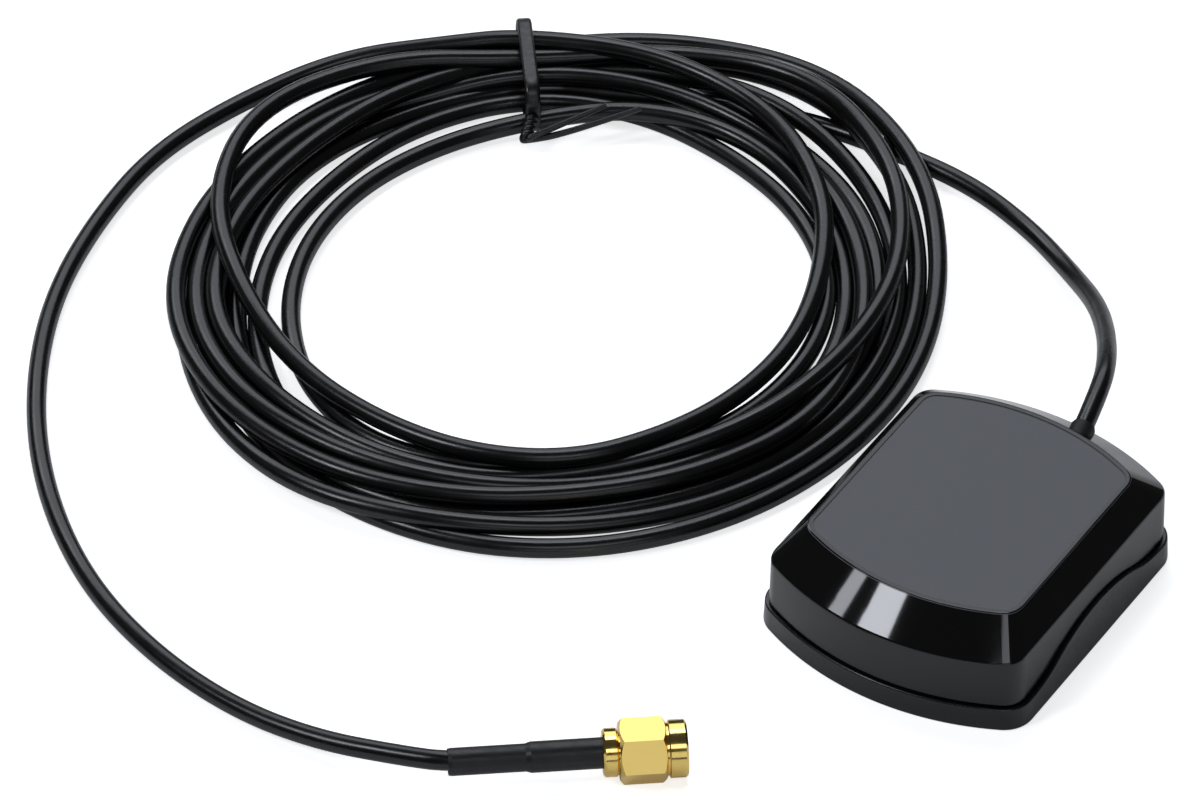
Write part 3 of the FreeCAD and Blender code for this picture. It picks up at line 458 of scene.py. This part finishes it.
def fluoropolymer():
    """The plug's insulator: dense white with a greasy sheen."""
    return surface("fluoropolymer", roughness=(0.28, 0.40), patch=1.5, grain=0.5, depth=0.005,
                   Base_Color=linear("#F0EFEA"))[0]


def white_paper(settings):
    """Paper of the backdrop: matt white, as bright to the camera as under a studio's lamps."""
    material, tree, shader = surface(
        "white_paper", roughness=(0.85, 0.95), patch=30.0, grain=40.0, depth=0.05,
        Base_Color=settings.floor, Specular_IOR_Level=0.0)
    shader.inputs["Emission Color"].default_value = settings.floor
    rays = add_node(tree, "ShaderNodeLightPath").outputs
    mirrored = add_node(tree, "ShaderNodeMath", {
        0: rays["Is Glossy Ray"], 1: rays["Is Transmission Ray"]}, operation="ADD").outputs["Value"]
    seen = add_node(tree, "ShaderNodeMath", {
        0: mirrored, 1: MIRRORED_GLOW, 2: rays["Is Camera Ray"]}, operation="MULTIPLY_ADD")
    glow = add_node(tree, "ShaderNodeMath", {
        0: seen.outputs["Value"], 1: PAPER_GLOW}, operation="MULTIPLY")
    tree.links.new(glow.outputs["Value"], shader.inputs["Emission Strength"])
    return material


# ---- the coil

def on_coil(angle, reach, height):
    """A place in millimetres, from its angle round the coil, distance from its centre and height."""
    return COIL_CENTRE[0] + reach * math.cos(angle), COIL_CENTRE[1] + reach * math.sin(angle), height


def distance_at(turn):
    """The line's distance from the coil's centre after that many turns, smooth between TURNS."""
    stations = [distance for row in TURNS for distance in row] + [COIL_END]
    at = turn * len(TURNS[0])
    first = min(int(at), len(stations) - 2)
    part = at - first
    before, start, end, after = (
        stations[min(max(first + k, 0), len(stations) - 1)] for k in (-1, 0, 1, 2))
    bow = 2 * before - 5 * start + 4 * end - after
    twist = 3 * start - before - 3 * end + after
    return 0.5 * (2 * start + (end - before) * part + bow * part ** 2 + twist * part ** 3)


def wound_turns():
    """Control points of the turns as they are wound, each turn at its own height."""
    step = 2 * math.pi / POINTS_PER_TURN
    outside_line = 1 / (0.75 + 0.25 * math.cos(step))      # a control point lies outside its spline
    points = []
    for k in range(len(TURNS) * POINTS_PER_TURN + 1):
        angle = math.radians(TIE_ANGLE) + step * k
        reach = distance_at(k / POINTS_PER_TURN) * outside_line
        height = WOUND_HEIGHTS[min(k // POINTS_PER_TURN, len(TURNS) - 1)]
        points.append(on_coil(angle, reach, height))
    return points


def settled(points, loose, diameter):
    """Let the loose points down until their turns lie on the floor and on each other.

    The line is sampled between its control points. Where two stretches are closer than a diameter both
    give way; every point is drawn back over its own place, stiffness evens its height, and it sinks.
    """
    rounds = 500
    look_again = 10                             # rounds between two searches for stretches that touch
    samples = 6                                 # in each span between control points
    same_stretch = 4 * samples                  # nearer along the line, samples aren't held apart
    give, keep, stiffness = 0.6, 0.05, 0.05     # shares of the way that a point goes in one round
    fall = 0.03                                 # millimetres that it sinks in one round
    points = np.array(points)
    home = points.copy()
    weights = np.zeros(((len(points) - 2) * samples, len(points)))
    for row in range(len(weights)):
        span, part = divmod(row, samples)
        part /= samples
        weights[row, span:span + 3] = (0.5 * (1 - part) ** 2, 0.5 + part - part ** 2, 0.5 * part ** 2)
    total = weights.sum(axis=0)[:, None]
    for count in range(rounds):
        line = weights @ points
        if count % look_again == 0:
            apart = np.linalg.norm(line[:, None] - line[None, :], axis=2)
            lower, upper = np.nonzero(np.triu(apart < 2 * diameter, same_stretch))
        between = line[upper] - line[lower]
        length = np.linalg.norm(between, axis=1)[:, None] + 1e-9      # never nought
        push = between * np.maximum(0, diameter / length - 1)
        force = np.zeros_like(line)
        np.add.at(force, upper, push)
        np.add.at(force, lower, -push)
        move = give * (weights.T @ force) / total
        move[:, :2] += keep * (home - points)[:, :2]
        move[1:-1, 2] += stiffness * ((points[2:, 2] + points[:-2, 2]) / 2 - points[1:-1, 2])
        move[:, 2] -= fall
        points[loose] += move[loose]
        points[loose, 2] = np.maximum(points[loose, 2], diameter / 2 + FLOOR_GAP)
    return points


def whole_route(diameter):
    """Control points of the whole lead in metres, from the housing to the plug."""
    before_plug = LEAD_ROUTE + UNDER_COIL + wound_turns()
    points = before_plug + FREE_ROUTE
    loose = np.zeros(len(points), bool)
    loose[len(LEAD_ROUTE):len(before_plug)] = True
    return settled(points, loose, diameter) * MM


# ---- modelling helpers

def alone(obj):
    """Select obj and nothing else."""
    bpy.ops.object.select_all(action="DESELECT")
    obj.select_set(True)
    bpy.context.view_layer.objects.active = obj


def placed(obj, name):
    """Name the piece and put its place into its mesh."""
    alone(obj)
    bpy.ops.object.transform_apply(location=True, rotation=True, scale=True)
    obj.name = name
    obj.data.name = name
    return obj


def apply_modifiers(obj):
    """Apply all of its modifiers, first to last."""
    alone(obj)
    for modifier in list(obj.modifiers):
        bpy.ops.object.modifier_apply(modifier=modifier.name)


def wire(points, radius, tip_radius):
    """A round wire through the points, thinner at its far tip, as a mesh."""
    bpy.ops.object.select_all(action="DESELECT")
    bpy.ops.curve.primitive_nurbs_path_add()
    obj = bpy.context.object
    spline = obj.data.splines[0]
    spline.points.add(len(points) - len(spline.points))
    for k, (point, place) in enumerate(zip(spline.points, points)):
        point.co = (*place, 1.0)
        point.radius = 1.0 if k < len(points) - 1 else tip_radius / radius
    spline.order_u = 3
    spline.use_endpoint_u = True
    obj.data.bevel_depth = radius
    obj.data.bevel_resolution = 4
    obj.data.use_fill_caps = True
    bpy.ops.object.convert(target="MESH")
    return bpy.context.object


def at_tie(place):
    """A place in metres, from degrees past the tie, distance from the coil's centre and height."""
    degrees, reach, height = place
    return Vector(on_coil(math.radians(TIE_ANGLE + degrees), reach, height)) * MM


# ---- operators

class ANTENNA_OT_stage(bpy.types.Operator):
    """Camera, pale floor and soft studio light"""
    bl_idname = "antenna.stage"
    bl_label = "Stage"

    def execute(self, context):
        settings = context.scene.antenna_stage
        self.camera(context, settings)
        bpy.ops.mesh.primitive_plane_add(size=FLOOR_SIZE)
        floor = context.object
        floor.name = "floor"
        floor.data.materials.append(white_paper(settings))

        world = bpy.data.worlds.new("studio")
        world.use_nodes = True
        background = world.node_tree.nodes["Background"]
        background.inputs["Color"].default_value = linear("#FFFFFF")
        background.inputs["Strength"].default_value = WORLD_STRENGTH
        context.scene.world = world
        for figures in LAMPS:
            self.lamp(context, *figures)
        context.scene.view_settings.view_transform = "Standard"
        return {"FINISHED"}

    def camera(self, context, settings):
        """Stand the camera off the place it aims at, and look through it."""
        away = Vector((math.sin(settings.azimuth) * math.cos(settings.elevation),
                       -math.cos(settings.azimuth) * math.cos(settings.elevation),
                       math.sin(settings.elevation)))
        place = Vector(CAMERA_AIM) * MM + away * settings.distance
        bpy.ops.object.select_all(action="DESELECT")
        bpy.ops.object.camera_add(location=place, rotation=(-away).to_track_quat("-Z", "Y").to_euler())
        camera = context.object
        camera.data.lens = settings.lens
        camera.data.clip_start = 0.01
        context.scene.camera = camera

    def lamp(self, context, name, place, width, height, power):
        """Add a rectangular lamp that faces the object."""
        towards = Vector(LAMP_AIM) - Vector(place)
        bpy.ops.object.light_add(
            type="AREA", location=place, rotation=towards.to_track_quat("-Z", "Y").to_euler())
        lamp = context.object
        lamp.name = name
        lamp.data.shape = "RECTANGLE"
        lamp.data.size = width
        lamp.data.size_y = height
        lamp.data.energy = power
        lamp.data.color = linear(LAMP_COLOUR)[:3]


class ANTENNA_OT_tie(bpy.types.Operator):
    """Twist tie round the coil: a strip bent round the bundle, its ends twisted together, two tails"""
    bl_idname = "antenna.tie"
    bl_label = "Twist tie"

    def execute(self, context):
        settings = context.scene.antenna_tie
        strap = self.strap(settings)
        strands = self.strands()
        alone(strap)
        for strand in strands:
            strand.select_set(True)
        bpy.ops.object.join()
        tie = placed(strap, "tie_wire")
        alone(tie)
        bpy.ops.object.shade_smooth_by_angle(angle=math.radians(40))
        tie.data.materials.clear()
        tie.data.materials.append(coated_wire(settings))
        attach(tie, BODY)
        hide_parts("twist_tie")
        return {"FINISHED"}

    def strap(self, settings):
        """A box without its two sides, its corners bent round, as thick as the strip."""
        near, far, low, high = (at * MM for at in (STRAP_NEAR, STRAP_FAR, STRAP_LOW, STRAP_HIGH))
        turn = math.radians(TIE_ANGLE)
        outwards = Vector((math.cos(turn), math.sin(turn), 0))
        middle = outwards * (near + far) / 2
        centre = Vector((*COIL_CENTRE, 0)) * MM + middle + Vector((0, 0, (low + high) / 2))
        bpy.ops.object.select_all(action="DESELECT")
        bpy.ops.mesh.primitive_cube_add(size=1, location=centre, rotation=(0, 0, turn),
                                        scale=(far - near, settings.width, high - low))
        strap = bpy.context.object
        bpy.ops.object.transform_apply(location=False, rotation=False, scale=True)
        bpy.ops.object.mode_set(mode="EDIT")
        mesh = bmesh.from_edit_mesh(strap.data)
        bpy.ops.mesh.select_all(action="DESELECT")
        mesh.faces.ensure_lookup_table()
        for face in mesh.faces:
            face.select_set(abs(face.normal.y) > 0.9)          # the two sides
        bpy.ops.mesh.delete(type="FACE")
        mesh = bmesh.from_edit_mesh(strap.data)
        for edge in mesh.edges:
            along = edge.verts[0].co - edge.verts[1].co
            edge.select_set(abs(along.y) > settings.width / 2)      # the four corners
        bpy.ops.mesh.bevel(offset=STRAP_CORNER * MM, segments=6, affect="EDGES")
        bpy.ops.object.mode_set(mode="OBJECT")
        shell = strap.modifiers.new("strip", "SOLIDIFY")
        shell.thickness = settings.thickness
        shell.offset = -1
        edges = strap.modifiers.new("edges", "BEVEL")
        edges.width = settings.thickness * STRIP_ROUNDING
        edges.segments = 3
        edges.angle_limit = math.radians(50)
        apply_modifiers(strap)
        return strap

    def strands(self):
        """The strip's two ends, twisted round each other, each with its tail."""
        start, end = at_tie(KNOT_START), at_tie(KNOT_END)
        axis = (end - start).normalized()
        side = axis.orthogonal().normalized()
        up = axis.cross(side)
        steps = KNOT_POINTS - 1
        strands = []
        for k, tail in enumerate(TAILS):
            points = []
            for step in range(KNOT_POINTS):
                angle = 2 * math.pi * KNOT_TURNS * step / steps + math.pi * k
                along = start + (end - start) * step / steps
                off_axis = side * math.cos(angle) + up * math.sin(angle)
                points.append(along + off_axis * (KNOT_SPREAD * MM))
            points += [at_tie(place) for place in tail]
            strands.append(wire(points, STRAND_RADIUS * MM, TIP_RADIUS * MM))
        return strands


class ANTENNA_OT_lead(bpy.types.Operator):
    """Coaxial lead: out of the housing, under the coil, round its turns and on to the plug"""
    bl_idname = "antenna.lead"
    bl_label = "Coaxial lead"

    def execute(self, context):
        settings = context.scene.antenna_lead
        points = whole_route(settings.diameter / MM)
        curve = bpy.data.curves.new("coaxial_lead", "CURVE")
        curve.dimensions = "3D"
        spline = curve.splines.new("NURBS")
        spline.points.add(len(points) - 1)
        for point, place in zip(spline.points, points):
            point.co = (*place, 1.0)
        spline.order_u = 3
        spline.use_endpoint_u = True
        spline.resolution_u = 10
        curve.bevel_depth = settings.diameter / 2
        curve.bevel_resolution = 8
        curve.use_fill_caps = True
        lead = bpy.data.objects.new("coaxial_lead", curve)
        context.scene.collection.objects.link(lead)
        curve.materials.append(extruded_pvc(settings))
        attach(lead, BODY)
        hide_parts("cable_lead", "cable_coil", "cable_free_end")
        return {"FINISHED"}


class ANTENNA_OT_housing(bpy.types.Operator):
    """Finishes of the covers, seal, pad, screws and magnets"""
    bl_idname = "antenna.housing"
    bl_label = "Housing"

    def execute(self, context):
        settings = context.scene.antenna_housing
        rubber = soft_rubber()
        nickel = nickel_plate()
        finish({
            "top_cover": polished_abs(settings),
            "base_cover": satin_abs(settings),
            "perimeter_seal": rubber,
            "cable_gland": rubber,
            "base_pad": foam_rubber(),
            "base_screws": zinc_steel(),
            "magnet_front": nickel,
            "magnet_rear": nickel,
        })
        return {"FINISHED"}


class ANTENNA_OT_board(bpy.types.Operator):
    """Finishes of the board, the patch and the parts of the amplifier"""
    bl_idname = "antenna.board"
    bl_label = "Board and patch"

    def execute(self, context):
        silver = fired_silver()
        solder = bright_solder()
        epoxy = moulded_epoxy()
        chips = fired_chip_ceramic()
        finish({
            "circuit_board": green_laminate(),
            "ceramic_patch": unglazed_ceramic(),
            "patch_electrode": silver,
            "patch_ground": silver,
            "patch_adhesive": adhesive_foam(),
            "feed_pin": solder,
            "solder_joints": solder,
            "shield_can": tinned_sheet(),
            "amplifier_chips": epoxy,
            "voltage_regulator": epoxy,
            "saw_filter": chips,
            "chip_capacitors": chips,
            "chip_inductors": chips,
        })
        return {"FINISHED"}


class ANTENNA_OT_plug(bpy.types.Operator):
    """Finishes of the plug, its sleeve and the stripped ends of the lead"""
    bl_idname = "antenna.plug"
    bl_label = "Plug"

    def execute(self, context):
        settings = context.scene.antenna_plug
        gold = gold_plate(settings)
        jacket = extruded_pvc(context.scene.antenna_lead)
        braid = tinned_braid()
        dielectric = white_polyethylene()
        copper = copper_clad_wire()
        finish({
            "heat_shrink_sleeve": shrunk_polyolefin(settings),
            "crimp_ferrule": gold,
            "connector_body": gold,
            "coupling_nut": gold,
            "centre_contact": gold,
            "retaining_ring": phosphor_bronze(),
            "plug_gasket": silicone_rubber(),
            "plug_insulator": fluoropolymer(),
            "plug_braid": braid,
            "cable_braid": braid,
            "plug_jacket": jacket,
            "cable_tail": jacket,
            "plug_dielectric": dielectric,
            "cable_dielectric": dielectric,
            "plug_conductor": copper,
            "cable_conductor": copper,
        })
        return {"FINISHED"}


class ANTENNA_PT_panel(bpy.types.Panel):
    """Lists the operators and what a user would change"""
    bl_idname = "ANTENNA_PT_panel"
    bl_label = "Positioning antenna"
    bl_space_type = "VIEW_3D"
    bl_region_type = "UI"
    bl_category = "Antenna"

    def draw(self, context):
        for operator in OPERATORS:
            self.layout.operator(operator.bl_idname)
        for name, group in GROUPS.items():
            for setting in group.__annotations__:
                self.layout.prop(getattr(context.scene, name), setting)


GROUPS = {
    "antenna_lead": LeadSettings,
    "antenna_tie": TieSettings,
    "antenna_housing": HousingSettings,
    "antenna_plug": PlugSettings,
    "antenna_stage": StageSettings,
}
OPERATORS = [ANTENNA_OT_stage, ANTENNA_OT_tie, ANTENNA_OT_lead, ANTENNA_OT_housing, ANTENNA_OT_board,
             ANTENNA_OT_plug]


def register():
    """Register the settings, the operators and the panel."""
    for name, group in GROUPS.items():
        bpy.utils.register_class(group)
        setattr(bpy.types.Scene, name, bpy.props.PointerProperty(type=group))
    for cls in OPERATORS + [ANTENNA_PT_panel]:
        bpy.utils.register_class(cls)


def unregister():
    """Take them out again, in the opposite order."""
    for cls in reversed(OPERATORS + [ANTENNA_PT_panel]):
        bpy.utils.unregister_class(cls)
    for name, group in GROUPS.items():
        delattr(bpy.types.Scene, name)
        bpy.utils.unregister_class(group)


def main():
    """Build the antenna on its stage."""
    register()
    bpy.ops.antenna.stage()
    bpy.ops.antenna.tie()
    bpy.ops.antenna.lead()
    bpy.ops.antenna.housing()
    bpy.ops.antenna.board()
    bpy.ops.antenna.plug()


if __name__ == "__main__":
    main()
